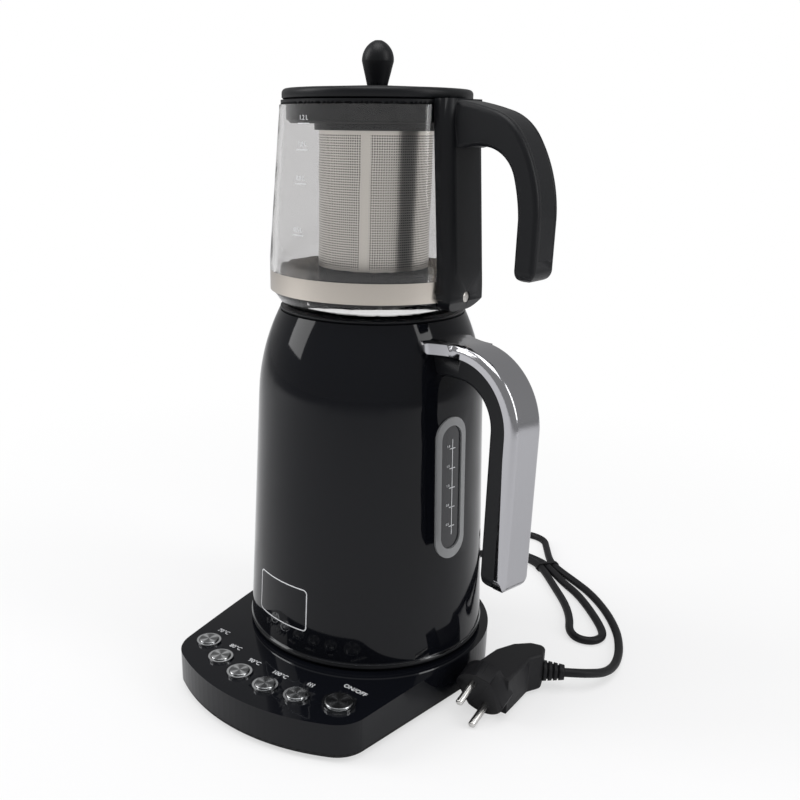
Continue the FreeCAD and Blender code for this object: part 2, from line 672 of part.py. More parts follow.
jug_form = revolved("jug_outline", [(0, seat - 10), (D.jug_foot, seat - 10), (D.jug_foot, seat),
                                    (D.jug_foot + 1.5, seat + 1.6), (D.jug_belly, seat + D.band_low),
                                    (D.jug_belly, belly_z), (D.jug_rim, rim_z - 3), (D.jug_rim, rim_z + 20),
                                    (0, rim_z + 20)])
column_low = seat + D.column_low
column_high = rim_z + 3.3
column = padded("column_pad", "XZ_Plane",
                [[(50, column_low), (D.jug_belly + 3, column_low), (D.jug_belly + D.column_depth - 1, column_low + 6),
                  (D.jug_belly + D.column_depth, belly_z), (D.jug_rim + D.column_depth, column_high - 12),
                  (D.jug_rim + D.column_depth, column_high), (50, column_high)]],
                D.column_width, symmetric=True)


def long_edge(edge):
    box = edge.BoundBox
    return box.ZLength > 40 and abs(box.YLength) < 0.01 and box.XMin > D.jug_rim.value


soften(column, 6.5, long_edge)
grip_out = D.grip_reach
grip_in = grip_out - D.grip_thick
grip_half = D.grip_width / 2
tip_z = seat + D.grip_low
tip_round = D.grip_thick * 0.5 - 0.2
knuckle_z = rim_z - 59
arch_pad = padded("arch_pad", "XZ_Plane",
                  [[(58, column_high - 26), (D.jug_rim + D.column_depth + 6, column_high - 26),
                    (D.jug_rim + D.column_depth + 18, column_high - 25, -30),
                    (grip_in - 4, column_high - 42, -23), (grip_in, knuckle_z, -90), (grip_in, tip_z + tip_round),
                    (grip_in + tip_round, tip_z, tip_round), (grip_out - tip_round, tip_z),
                    (grip_out, tip_z + tip_round, tip_round), (grip_out, knuckle_z),
                    (grip_out - 15, column_high - 18, 80), (grip_out - 34, column_high - 5.5, 34),
                    (58, column_high + 0.4, 160)]],
                  D.grip_width, symmetric=True)
soften(arch_pad, 3.0, on_side(grip_half, grip_out, [80, 34, 160]))
column_end = rounded_end("column_end", D.column_width / 2 + 0.01, size(12), column_low, column_high + 20)
grip_end = rounded_end("grip_end_form", grip_half + 0.01, size(7), tip_z, column_high + 20)
handle_whole = fused("jug_handle_whole", [shared("column_shaped", [column, column_end]),
                                          shared("arch_shaped", [arch_pad, grip_end])])
strip_block = padded("strip_block", "XZ_Plane",
                     [[(grip_out - D.strip_depth, tip_z + 12), (grip_out + 3, tip_z + 12), (grip_out + 3, knuckle_z),
                       (grip_out - 12, column_high - 12, 80), (grip_out - 34, column_high + 3, 34),
                       (70, column_high + 3), (70, column_high - D.strip_depth),
                       (grip_out - 34.5, column_high - 5.5 - D.strip_depth, -160),
                       (grip_out - 16, column_high - 19.2, -34), (grip_out - D.strip_depth, knuckle_z, -80)]],
                     D.strip_width, symmetric=True)
handle_trimmed = boolean("Cut", "handle_trimmed", handle_whole, jug_form)
screw_z = seat + 13
screw_out = D.jug_belly + D.column_depth + 3


def lie_along_x(body, z):
    body.Placement = FreeCAD.Placement(FreeCAD.Vector(), FreeCAD.Rotation(FreeCAD.Vector(0, 1, 0), 90))
    bind(body, "Placement.Base.z", z)
    return body


screw_head_out = D.jug_belly + D.column_depth - 0.6
screw_pocket = lie_along_x(disc("screw_pocket_form", size(3.4), screw_head_out - 2.2, screw_out), screw_z)
handle_open = boolean("Cut", "handle_with_pocket", handle_trimmed, screw_pocket)
node(boolean("Cut", "jug_handle", handle_open, strip_block), jug)
node(shared("jug_handle_strip", [strip_block, handle_trimmed]), jug)
jug_screw_head = lie_along_x(revolved("jug_screw_form",
                                      [(0, screw_head_out - 2.2), (3.2, screw_head_out - 2.2),
                                       (3.2, screw_head_out - 0.8), (1.6, screw_head_out - 0.2), (0, screw_head_out - 0.2)]),
                             screw_z)
node(grouped("jug_handle_screw", [jug_screw_head]), jug)

# Infuser: a holder that closes the jug, a collar, the perforated cylinder and its cup
flange_low = rim_z
flange_top = flange_low + D.flange_thick
skirt_low = flange_top - D.skirt_depth - D.flange_thick
collar_low = flange_top - D.collar_depth - D.flange_thick
thick = D.holder_wall
mesh_low = collar_low - D.mesh_length + 3
holder = revolved("infuser_holder",
                  [(D.flange_radius, flange_low), (D.flange_radius, flange_top), (D.collar_radius - thick, flange_top),
                   (D.collar_radius - thick, collar_low + 6), (D.mesh_radius + D.seat_gap, collar_low + 6),
                   (D.mesh_radius + D.seat_gap, collar_low), (D.collar_radius, collar_low), (D.collar_radius, skirt_low),
                   (D.skirt_radius - 2.5, skirt_low), (D.skirt_radius, skirt_low + 2.5), (D.skirt_radius, flange_low)])
node(holder, jug)
mesh_tube = ring("mesh_tube", D.mesh_radius, D.mesh_radius - D.mesh_wall, mesh_low, collar_low + 6)
node(mesh_tube, jug)
node(revolved("infuser_cup",
              [(0, mesh_low - D.cup_height + 3), (D.mesh_radius - 3, mesh_low - D.cup_height + 3),
               (D.mesh_radius - 3, mesh_low - D.cup_height), (D.mesh_radius, mesh_low - D.cup_height),
               (D.mesh_radius, mesh_low), (D.mesh_radius - D.mesh_wall - 0.2, mesh_low),
               (D.mesh_radius - D.mesh_wall - 0.2, mesh_low + 2), (D.mesh_radius - 2.4, mesh_low + 2),
               (D.mesh_radius - 2.4, mesh_low - D.cup_height + 5), (0, mesh_low - D.cup_height + 5)]), jug)

# Lid: a disc with a rounded edge, a plug that finds the holder's opening, and a knob held by a screw
lid_low = flange_top + D.seat_gap
lid_top = lid_low + D.lid_thick
plug_wall = D.holder_wall
lid_disc = revolved("lid_disc",
                    [(0, lid_low + 2.2), (D.plug_radius - plug_wall, lid_low + 2.2),
                     (D.plug_radius - plug_wall, lid_low - D.plug_depth), (D.plug_radius, lid_low - D.plug_depth),
                     (D.plug_radius, lid_low), (D.lid_radius - 1.2, lid_low), (D.lid_radius, lid_low + 1.0),
                     (D.lid_radius, lid_top), (D.lid_radius - D.lid_round - 0.5, lid_top), (8, lid_top + D.lid_dome),
                     (0, lid_top + D.lid_dome)])
soften(lid_disc, D.lid_round, at_rim(D.lid_radius, lid_top))
node(lid_disc, jug)
knob_top = lid_top + D.lid_dome + D.knob_height
bulb_z = knob_top - D.knob_crown
knob = revolved("lid_knob",
                [(0, lid_top + D.lid_dome), (D.knob_neck, lid_top + D.lid_dome), (D.knob_radius, bulb_z),
                 (D.knob_tip, knob_top, D.knob_crown), (0, knob_top)])
node(knob, jug)

# Supply cord: straight runs joined by tangent arcs, the hank as one closed solid, and the plug
cord_d = D.cord_radius * 2
TABLE = DIMS["cord_radius"] + 0.1
gland_end = (D.base_radius + 9).value
gland_height = gland_z.value
lead_points = [(0.0, gland_end, gland_height), (0.0, gland_end + 16, gland_height),
               (-4.5, gland_end + 36, TABLE + 3.2), (-11.0, gland_end + 60, TABLE), (-13.5, gland_end + 86, TABLE + 0.1),
               (-8.0, gland_end + 112, TABLE), (3.0, gland_end + 134, TABLE + 0.1)]
tail_points = [(141.0, 40.0, 13.5), (151.6, 45.6, 13.5), (158.2, 57.6, 9.6), (160.4, 75.2, 5.5), (158.2, 91.0, 3.8),
               (151.4, 105.5, TABLE), (143.0, 115.0, TABLE)]


def cord_tube(name, points):
    """A plain round tube along the points: straight runs joined by arcs that touch both runs."""
    places = [FreeCAD.Vector(*p) for p in points]
    starts, ends, radii, edges = [places[0]], [], [], []
    for before, corner, after in zip(places, places[1:], places[2:]):
        one, two = corner - before, after - corner
        turn = one.getAngle(two)
        reach = 0.45 * min(one.Length, two.Length)
        radius = reach / math.tan(turn / 2)
        radii.append(radius)
        into = corner - one.normalize() * reach
        out = corner + two.normalize() * reach
        inward = (two - one).normalize()
        middle = corner + inward * (math.hypot(radius, reach) - radius)
        ends.append(into)
        starts.append(out)
        edges.append(Part.Arc(into, middle, out).toShape())
    ends.append(places[-1])
    wire_edges = []
    for i, (a, b) in enumerate(zip(starts, ends)):
        wire_edges.append(Part.LineSegment(a, b).toShape())
        if i < len(edges):
            wire_edges.append(edges[i])
    wire = Part.Wire(wire_edges)
    heading = (places[1] - places[0]).normalize()
    circle = Part.Wire([Part.Circle(places[0], heading, DIMS["cord_radius"]).toShape()])
    tube = wire.makePipeShell([circle], True, False)
    feature = doc.addObject("Part::Feature", name)
    feature.Shape = tube
    print(name, "length %.0f" % wire.Length, "radii", ["%.0f" % r for r in radii],
          "volume ratio %.4f" % (tube.Volume / (wire.Length * math.pi * DIMS["cord_radius"] ** 2)))
    return feature, places[-1], (places[-1] - places[-2]).normalize()


lead, lead_end, lead_heading = cord_tube("cord_lead", lead_points)
tail, tail_end, tail_heading = cord_tube("cord_tail", tail_points)
node(lead)
node(tail)

# The hank lies flat behind the base: a bundle with rounded ends, the lead in one end and the tail in the other
HANK_FROM, HANK_TO = (152.0, 98.0), (-8.0, 256.0)
HANK_HALF, HANK_HEIGHT = 17.5, 12.6
hank_axis = FreeCAD.Vector(HANK_TO[0] - HANK_FROM[0], HANK_TO[1] - HANK_FROM[1], 0)
hank_heading = math.degrees(math.atan2(hank_axis.y, hank_axis.x))
hank_length = hank_axis.Length
hank_place = FreeCAD.Placement(FreeCAD.Vector(HANK_FROM[0], HANK_FROM[1], 0),
                               FreeCAD.Rotation(FreeCAD.Vector(0, 0, 1), hank_heading))
hank_end = HANK_HALF * 0.45
hank = padded("cord_hank", "XY_Plane",
              [[(0, -hank_end), (hank_end, -HANK_HALF + 2, hank_end * 1.4),
                (hank_length / 2, -HANK_HALF, 2400), (hank_length - hank_end, -HANK_HALF + 2, 2400),
                (hank_length, -hank_end, hank_end * 1.4), (hank_length, hank_end),
                (hank_length - hank_end, HANK_HALF - 2, hank_end * 1.4), (hank_length / 2, HANK_HALF, 2400),
                (hank_end, HANK_HALF - 2, 2400), (0, hank_end, hank_end * 1.4)]], size(HANK_HEIGHT), lift=size(0.1))
hank.Placement = hank_place
node(hank)
TIE_AT, TIE_WIDTH, TIE_THICK = 146.0, 3.0, 1.0
tie_block = doc.addObject("Part::Box", "tie_block")
for prop, number in (("Length", TIE_WIDTH), ("Width", 2 * (HANK_HALF + TIE_THICK)),
                     ("Height", HANK_HEIGHT + TIE_THICK)):
    bind(tie_block, prop, number)
tie_block.Placement = hank_place.multiply(FreeCAD.Placement(FreeCAD.Vector(TIE_AT, -HANK_HALF - TIE_THICK, 0.1),
                                                            FreeCAD.Rotation()))
node(boolean("Cut", "cord_tie", tie_block, hank))

# Plug: a round face with flats, a grip that turns the cord off to the side, a ribbed sleeve, two round pins
# rests on its rim and on the tip of its lower pin, so it leans and is rolled about its pins' direction
PLUG_X, PLUG_FACE, PLUG_HEIGHT = 111.0, -24.8, 17.1
PLUG_LEAN, PLUG_ROLL = 18.0, 68.0
FACE_RADIUS, FLAT_HALF = 17.5, 14.5
leaning = FreeCAD.Rotation(FreeCAD.Vector(1, 0, 0), PLUG_LEAN)
rolled = FreeCAD.Rotation(FreeCAD.Vector(0, 1, 0), PLUG_ROLL)
plug_place = FreeCAD.Placement(FreeCAD.Vector(PLUG_X, PLUG_FACE, PLUG_HEIGHT), leaning.multiply(rolled))
flat_x = math.sqrt(FACE_RADIUS ** 2 - FLAT_HALF ** 2)
plug_face = padded("plug_face", "XZ_Plane",
                   [[(-flat_x, -FLAT_HALF, FACE_RADIUS), (flat_x, -FLAT_HALF),
                     (flat_x, FLAT_HALF, FACE_RADIUS), (-flat_x, FLAT_HALF)]], size(13.5), backwards=True)
plug_face.Placement = plug_place
grip_outline = [(98.5, -15.0), (126.5, -15.0), (126.0, 4.0), (125.5, 17.0), (130.5, 27.0), (126.5, 39.5),
                (116.0, 37.0), (107.0, 28.0), (101.0, 14.0)]
plug_grip = padded("plug_grip", "XY_Plane", [grip_outline], size(28.0), lift=size(2.0))
soften(plug_grip, 5.0, lambda edge: edge.BoundBox.ZLength > 27.9 and edge.BoundBox.YMin > -14)
soften(plug_grip, 2.5, lambda edge: edge.BoundBox.ZLength < 0.01)
SLEEVE_HEADING = math.radians(28.0)
sleeve_steps = [(0, -2), (7.6, -2), (7.5, 1.0)]
for k in range(4):
    near = 1.0 + 3.6 * k
    sleeve_steps += [(7.4 - 0.5 * k, near), (6.2 - 0.5 * k, near), (6.2 - 0.5 * k, near + 1.2),
                     (7.3 - 0.5 * k, near + 1.2)]
SLEEVE_LENGTH = 16.5
sleeve_steps += [(5.2, SLEEVE_LENGTH), (0, SLEEVE_LENGTH)]
plug_sleeve = revolved("plug_sleeve", sleeve_steps)
sleeve_axis = FreeCAD.Vector(math.cos(SLEEVE_HEADING), math.sin(SLEEVE_HEADING), 0)
plug_sleeve.Placement = FreeCAD.Placement(FreeCAD.Vector(*tail_points[0]) - sleeve_axis * SLEEVE_LENGTH,
                                          FreeCAD.Rotation(FreeCAD.Vector(0, 0, 1), sleeve_axis))
node(fused("plug_body", [plug_face, plug_grip, plug_sleeve]))
pins = []
for k, side in enumerate((-0.5, 0.5)):
    pin = doc.addObject("Part::Cylinder", "pin_%d" % k)
    bind(pin, "Radius", D.plug_pin)
    bind(pin, "Height", D.pin_length)
    root = FreeCAD.Vector(D.pin_spacing.value * side, 0, 0)
    pin.Placement = plug_place.multiply(FreeCAD.Placement(root, FreeCAD.Rotation(FreeCAD.Vector(1, 0, 0), 90)))
    doc.recompute()
    pin_root, reach = pin.Placement.Base, D.pin_length.value - 0.1
    domed = doc.addObject("Part::Chamfer", "pin_end_%d" % k)
    domed.Base = pin
    domed.Edges = [(n + 1, 0.9, 0.9) for n, edge in enumerate(pin.Shape.Edges)
                   if isinstance(edge.Curve, Part.Circle) and (edge.Curve.Center - pin_root).Length > reach]
    pins.append(domed)
doc.recompute()
node(grouped("plug_pins", pins))
doc.recompute()

problems = []
for obj in doc.Objects:
    if "Invalid" in obj.State or "Error" in obj.State:
        problems.append(obj.Name + " " + obj.getStatusString())
for obj in nodes:
    shape = obj.Shape
    if shape.isNull() or not shape.isValid() or not shape.Solids:
        problems.append("shape of " + obj.Name)
if problems:
    raise RuntimeError("failed: " + ", ".join(problems))

os.makedirs("parts", exist_ok=True)
for obj in nodes:
    obj.Shape.exportStep("parts/%s.step" % obj.Label)
print(len(nodes), "sub-parts written")
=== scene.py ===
# %% [markdown]
# # An automatic tea maker
# A power base with six buttons carries an electric kettle, and a glass tea jug with an infuser stands on the
# kettle's open mouth. The solids come from the CAD frame. This lesson gives them their looks: polished and
# satin black plastic, clear glass, bright steel, printed numbers, a cord, and a plain white studio.

# %% Load the frame
import json
import math

import bmesh
import bpy
from mathutils import Matrix, Vector
from mathutils.bvhtree import BVHTree

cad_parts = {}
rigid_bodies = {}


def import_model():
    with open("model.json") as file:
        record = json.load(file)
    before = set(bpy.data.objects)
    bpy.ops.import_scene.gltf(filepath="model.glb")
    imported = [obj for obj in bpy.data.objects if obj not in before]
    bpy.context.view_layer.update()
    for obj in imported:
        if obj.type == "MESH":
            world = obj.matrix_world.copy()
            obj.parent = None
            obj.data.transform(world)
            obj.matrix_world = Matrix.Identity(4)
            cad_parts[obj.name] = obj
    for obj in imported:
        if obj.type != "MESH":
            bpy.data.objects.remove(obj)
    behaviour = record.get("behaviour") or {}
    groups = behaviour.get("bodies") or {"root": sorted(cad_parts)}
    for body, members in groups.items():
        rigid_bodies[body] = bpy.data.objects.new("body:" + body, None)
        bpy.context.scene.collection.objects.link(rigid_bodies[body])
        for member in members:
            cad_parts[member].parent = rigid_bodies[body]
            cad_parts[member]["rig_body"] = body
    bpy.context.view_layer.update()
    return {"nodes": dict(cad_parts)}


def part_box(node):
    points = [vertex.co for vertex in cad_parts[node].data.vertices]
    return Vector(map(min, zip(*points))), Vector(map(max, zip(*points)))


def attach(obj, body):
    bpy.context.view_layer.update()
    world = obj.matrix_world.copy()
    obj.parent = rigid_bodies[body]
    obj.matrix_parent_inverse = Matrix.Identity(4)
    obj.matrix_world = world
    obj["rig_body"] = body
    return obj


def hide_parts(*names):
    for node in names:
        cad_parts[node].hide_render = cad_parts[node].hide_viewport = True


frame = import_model()
nodes = frame["nodes"]
MM = 0.001

# %% [markdown]
# ## The camera
# The photograph was taken from a little above the kettle's shoulder, to the right of the button panel. The
# camera's place and turn were worked out from the known sizes, and its shift puts the picture's middle where
# the photograph has it.

# %% Camera
CAMERA_PLACE = Vector((0.3539, -0.4932, 0.3650))
YAW, PITCH, ROLL = math.radians(37.68), math.radians(20.27), math.radians(0.59)
FOCAL_LENGTH, SHIFT = 41.69, (0.0774, 0.0869)
ahead = Vector((-math.sin(YAW) * math.cos(PITCH), math.cos(YAW) * math.cos(PITCH), -math.sin(PITCH)))
level = Vector((math.cos(YAW), math.sin(YAW), 0))
upright = level.cross(ahead)
right = level * math.cos(ROLL) + upright * math.sin(ROLL)
upward = upright * math.cos(ROLL) - level * math.sin(ROLL)
lens = bpy.data.cameras.new("camera")
lens.lens = FOCAL_LENGTH
lens.shift_x, lens.shift_y = SHIFT
camera = bpy.data.objects.new("camera", lens)
turn = Matrix((right, upward, -ahead)).transposed().to_4x4()
camera.matrix_world = Matrix.Translation(CAMERA_PLACE) @ turn
bpy.context.scene.collection.objects.link(camera)
bpy.context.scene.camera = camera
print("camera:", round((CAMERA_PLACE - Vector((0, 0, 0.2))).length, 3), "m from the kettle")

# %% [markdown]
# ## Shader maths as Python
# A material is a graph of nodes. Wrapping a socket in a small class lets an expression such as 1 - mask add
# its Math nodes by itself, and one method adds every other kind of node.


# %% A socket that does sums
class Wire:
    """An output socket on which Python's operators add Math nodes."""

    def __init__(self, graph, socket):
        self.graph = graph
        self.socket = socket

    def __add__(self, other):
        return self.graph.maths("ADD", self, other)

    def __sub__(self, other):
        return self.graph.maths("SUBTRACT", self, other)

    def __rsub__(self, other):
        return self.graph.maths("SUBTRACT", other, self)

    def __mul__(self, other):
        return self.graph.maths("MULTIPLY", self, other)

    def __truediv__(self, other):
        return self.graph.maths("DIVIDE", self, other)

    def __gt__(self, other):
        return self.graph.maths("GREATER_THAN", self, other)

    def __lt__(self, other):
        return self.graph.maths("LESS_THAN", self, other)

    __radd__ = __add__
    __rmul__ = __mul__


# %% [markdown]
# The world has a graph of nodes too, so what every graph needs stands in one class. A finish is a material's
# graph, with the Principled shader that a new material starts with.


# %% Graphs and finishes
class Graph:
    """A tree of shader nodes, to which nodes are added one by one."""

    def __init__(self, tree):
        self.tree = tree

    def plug(self, socket, value):
        """Link a wire to an input socket, or set the socket to a plain value."""
        if isinstance(value, Wire):
            self.tree.links.new(value.socket, socket)
        elif isinstance(value, tuple) and len(value) == 3 and socket.type == "RGBA":
            socket.default_value = value + (1.0,)
        else:
            socket.default_value = value

    def add(self, kind, settings, inputs, output=0):
        """Add a node of a kind, set it, feed its inputs, and give one of its outputs back."""
        step = self.tree.nodes.new(kind)
        for key, value in settings.items():
            setattr(step, key, value)
        for key, value in inputs.items():
            self.plug(step.inputs[key], value)
        return Wire(self, step.outputs[output])

    def maths(self, operation, *values):
        return self.add("ShaderNodeMath", {"operation": operation}, dict(enumerate(values)))

    def point(self):
        """The place of a point on the piece, in metres."""
        return self.add("ShaderNodeTexCoord", {}, {}, "Object")

    def seen(self):
        """1 where the camera looks, straight or through glass, and 0 for the light on the object."""
        straight = self.add("ShaderNodeLightPath", {}, {}, "Is Camera Ray")
        through_glass = self.add("ShaderNodeLightPath", {}, {}, "Is Transmission Ray")
        return self.maths("MAXIMUM", straight, through_glass)


class Finish(Graph):
    """A material with a Principled shader, set by the names of the shader's sockets."""

    def __init__(self, name, **settings):
        self.material = bpy.data.materials.new(name)
        self.material.use_nodes = True
        super().__init__(self.material.node_tree)
        self.shader = self.tree.nodes["Principled BSDF"]
        for key, value in settings.items():
            self.set(key.replace("_", " ").title().replace("Ior", "IOR"), value)

    def set(self, name, value):
        self.plug(self.shader.inputs[name], value)

    def place(self):
        """The x, y and z of a point on the piece."""
        parts = self.tree.nodes.new("ShaderNodeSeparateXYZ")
        self.plug(parts.inputs[0], self.point())
        return [Wire(self, out) for out in parts.outputs]

    def mix(self, factor, first, second):
        return self.add("ShaderNodeMix", {"data_type": "RGBA"}, {0: factor, 6: first, 7: second}, 2)

    def bump(self, height, distance, strength=1.0):
        return self.add("ShaderNodeBump", {}, {"Height": height, "Distance": distance, "Strength": strength})


print("a socket's sums and a finish's settings are ready")

# %% [markdown]
# ## Finishes
# The kettle and its base are moulded in polished black plastic, which mirrors the room faintly. What is held
# in the hand is satin black, with a grain so fine that it only softens the highlights. The cord and its plug
# are rubbery, and the plain mouldings that are hardly seen have a duller black.

# %% Black plastics
GLOSS_SHEEN, DULL_SHEEN = 0.22, 0.25
GRAIN_SCALE, GRAIN_DEPTH = 2600.0, 0.04 * MM
gloss_black = Finish("polished black", base_color=(0.004, 0.0045, 0.0065), roughness=0.06,
                     specular_ior_level=GLOSS_SHEEN)
satin_black = Finish("satin black", base_color=(0.0065, 0.007, 0.0085), roughness=0.4,
                     specular_ior_level=GLOSS_SHEEN)
grain = satin_black.add("ShaderNodeTexNoise", {},
                        {"Vector": satin_black.point(), "Scale": GRAIN_SCALE, "Detail": 2.0})
satin_black.set("Normal", satin_black.bump(grain, GRAIN_DEPTH))
rubber_black = Finish("black rubber", base_color=(0.007, 0.007, 0.0085), roughness=0.5,
                      specular_ior_level=DULL_SHEEN)
tray_black = Finish("moulded black", base_color=(0.007, 0.007, 0.008), roughness=0.5,
                    specular_ior_level=DULL_SHEEN)
BLACKS = (gloss_black, satin_black, rubber_black, tray_black)
print("black plastics:", [made.material.name for made in BLACKS])

# %% [markdown]
# The kettle's handle wears a polished cover, each button a thin bright bezel, and the jug a warm steel band.
# A metal shows only what it mirrors, tinted by its base colour.

# %% Metals
cover_metal = Finish("polished cover", base_color=(0.43, 0.43, 0.45), metallic=1.0, roughness=0.14)
bezel_metal = Finish("bezel", base_color=(0.68, 0.69, 0.70), metallic=1.0, roughness=0.12)
pin_metal = Finish("plated pin", base_color=(0.70, 0.69, 0.67), metallic=1.0, roughness=0.22)
plain_steel = Finish("plain steel", base_color=(0.55, 0.53, 0.50), metallic=1.0, roughness=0.3)
band_steel = Finish("band steel", base_color=(0.66, 0.61, 0.55), metallic=1.0, roughness=0.24)
METALS = (cover_metal, bezel_metal, pin_metal, plain_steel, band_steel)
print("metals:", [made.material.name for made in METALS])

# %% [markdown]
# The infuser is a sheet with rows of small holes, rolled into a cylinder, with a blank strip where its ends
# meet. Thousands of real holes would cost millions of triangles, so a mask made from the bearing and the
# height of each point draws them.

# %% Perforated sheet
mesh_low, mesh_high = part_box("mesh_tube")
HOLE_PITCH, HOLE_RADIUS = 1.45 * MM, 0.48 * MM
SEAM_BEARING, SEAM_HALF = math.radians(-64), 0.075
PLAIN_FOOT, PLAIN_TOP = 1.5 * MM, 8.0 * MM
mesh_steel = Finish("perforated steel", metallic=1.0, roughness=0.3)
x, y, z = mesh_steel.place()
bearing = mesh_steel.maths("ARCTAN2", y, x)
column = mesh_steel.maths("FRACT", bearing * mesh_high.x / HOLE_PITCH) - 0.5
row = mesh_steel.maths("FRACT", z / HOLE_PITCH) - 0.5
holes = column * column + row * row < (HOLE_RADIUS / HOLE_PITCH) ** 2
off_seam = mesh_steel.maths("ABSOLUTE", bearing - SEAM_BEARING) > SEAM_HALF
in_rows = (z > mesh_low.z + PLAIN_FOOT) * (z < mesh_high.z - PLAIN_TOP)
mask = holes * off_seam * in_rows
mesh_steel.set("Base Color", mesh_steel.mix(mask, (0.86, 0.82, 0.76), (0.09, 0.085, 0.08)))
print("holes round the cylinder:", round(math.tau * mesh_high.x / HOLE_PITCH))

# %% [markdown]
# The jug is clear glass that darkens a little what stands behind it. The kettle's level window is a smoked
# lens in a grey surround, and all the printing is one matt white ink.

# %% Glass, lens and printing
jug_clear = Finish("clear glass", base_color=(0.74, 0.735, 0.735), roughness=0.01, transmission_weight=1.0,
                   ior=1.45)
lens_dark = Finish("smoked lens", base_color=(0.02, 0.021, 0.024), roughness=0.08, specular_ior_level=0.6)
frame_grey = Finish("window surround", base_color=(0.24, 0.245, 0.25), roughness=0.16, specular_ior_level=0.7)
print_white = Finish("white print", base_color=(0.75, 0.76, 0.78), roughness=0.5)
board_green = Finish("circuit board", base_color=(0.03, 0.18, 0.08), roughness=0.4)
tube_milky = Finish("milky tube", base_color=(0.55, 0.57, 0.6), roughness=0.3)
CLEAR_AND_PLAIN = (jug_clear, lens_dark, frame_grey, print_white, board_green, tube_milky)
print("the rest:", [made.material.name for made in CLEAR_AND_PLAIN])

# %% [markdown]
# The buttons are discs turned on a lathe. Fine rings round the middle give them their sparkle. Light and dark
# fans are painted into their colour, a painted highlight and painted shade crossing as where grooves catch
# light.

# %% Turned buttons
GROOVE_PITCH, GROOVE_DEPTH, GROOVE_SHARE = 0.45 * MM, 0.02 * MM, 0.6
PAINTED_FANS, PAINTED_FAN_TURN = 4.0, 1.1


def middle(name):
    low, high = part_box(name)
    return (low + high) / 2


def turned_metal(name):
    """Bright metal with fine grooves round the middle of one button, and painted highlight fans in its
    colour.
    """
    finish = Finish("turned " + name, metallic=1.0, roughness=0.24)
    x, y, z = finish.place()
    centre = middle(name)
    east, north = x - centre.x, y - centre.y
    reach = finish.maths("SQRT", east * east + north * north)
    groove = finish.maths("SINE", reach * (math.tau / GROOVE_PITCH))
    finish.set("Normal", finish.bump(groove, GROOVE_DEPTH, GROOVE_SHARE))
    # Painted highlight and painted shade: four light fans by bearing round the button's middle, dark between.
    painted_highlight_fans = finish.maths("COSINE", finish.maths("ARCTAN2", north, east) * PAINTED_FANS + PAINTED_FAN_TURN) * 0.5 + 0.5
    finish.set("Base Color", finish.mix(painted_highlight_fans * painted_highlight_fans, (0.20, 0.205, 0.21), (0.74, 0.75, 0.76)))
    return finish


BUTTONS = ["button_70", "button_80", "button_90", "button_100", "button_keep_warm", "button_power"]
button_looks = {name: (turned_metal(name), "silver") for name in BUTTONS}
print("turned buttons:", len(button_looks))

# %% [markdown]
# ## Dress the frame's pieces
# The frame's meshes are loose triangles. A merged copy shades smoothly where the surface is curved and keeps
# its edges where it turns sharply, and it stands for the piece it was copied from.

# %% Copies that shade smoothly
SHARP = math.radians(32)
SAME_CORNER, SPUN_CORNER = 0.002 * MM, 0.001 * MM


def shade(mesh):
    """Smooth faces, with the edges that turn sharply kept sharp."""
    mesh.polygons.foreach_set("use_smooth", [True] * len(mesh.polygons))
    mesh.set_sharp_from_angle(angle=SHARP)


def finished(name, shape, body, finish):
    """A bmesh made into a piece that has its finish and moves with its body."""
    mesh = bpy.data.meshes.new(name)
    shape.to_mesh(mesh)
    shape.free()
    shade(mesh)
    mesh.materials.append(finish.material)
    piece = bpy.data.objects.new(name, mesh)
    bpy.context.scene.collection.objects.link(piece)
    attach(piece, body)
    return piece


def dress(name, finish, slot_name):
    """A merged copy of a frame piece, which takes its place."""
    shape = bmesh.new()
    shape.from_mesh(nodes[name].data)
    bmesh.ops.remove_doubles(shape, verts=shape.verts, dist=SAME_CORNER)
    piece = finished(name + "_dressed", shape, nodes[name]["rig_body"], finish)
    even = piece.modifiers.new("even shading", "WEIGHTED_NORMAL")
    even.keep_sharp = True
    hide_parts(name)
    return piece


LOOKS = {
    "base_cover": (gloss_black, "gloss_black"), "kettle_shell": (gloss_black, "gloss_black"),
    "kettle_trim": (bezel_metal, "chrome"), "kettle_foot_ring": (satin_black, "soft_black"),
    "mouth_ring": (satin_black, "soft_black"), "window_frame": (frame_grey, "soft_black"),
    "window_lens": (lens_dark, "dark_lens"), "kettle_handle_core": (satin_black, "soft_black"),
    "kettle_handle_cover": (cover_metal, "chrome"), "jug_glass": (jug_clear, "clear_glass"),
    "jug_band": (band_steel, "steel"), "jug_handle": (satin_black, "soft_black"),
    "jug_handle_strip": (satin_black, "soft_black"), "jug_handle_screw": (plain_steel, "steel"),
    "infuser_holder": (satin_black, "soft_black"), "mesh_tube": (mesh_steel, "mesh_steel"),
    "infuser_cup": (tray_black, "soft_black"), "lid_disc": (satin_black, "soft_black"),
    "lid_knob": (satin_black, "soft_black"), "button_bezels": (bezel_metal, "chrome"),
    "plug_body": (rubber_black, "soft_black"), "plug_pins": (pin_metal, "pin_metal"),
    "base_tray": (tray_black, "soft_black"), "dock_connector": (tray_black, "soft_black"),
    **button_looks,
}
dressed = {name: dress(name, *look) for name, look in LOOKS.items()}
print("dressed copies:", len(dressed))

# %% [markdown]
# Some pieces are hardly seen, such as the feet and the board under the panel. Their loose triangles do no
# harm, so each keeps its mesh and only gets its finish.

# %% Pieces that need no copy
PLAIN = {"base_feet": rubber_black, "base_screws": plain_steel, "control_board": board_green,
         "tact_switches": tray_black, "kettle_socket": tray_black, "level_tube": tube_milky,
         "heater_plate": plain_steel}
for name, finish in PLAIN.items():
    nodes[name].data.materials.clear()
    nodes[name].data.materials.append(finish.material)
print("plain pieces:", len(PLAIN))

# %% [markdown]
# ## The supply cord
# The cord leaves the back of the base through a tapered sleeve, lies on the table, and is folded twice into a
# hank of three strands held by a tie before it comes round to its plug. It is one curve of one length. Its
# points are in millimetres, and the curve passes midway between each two neighbours.

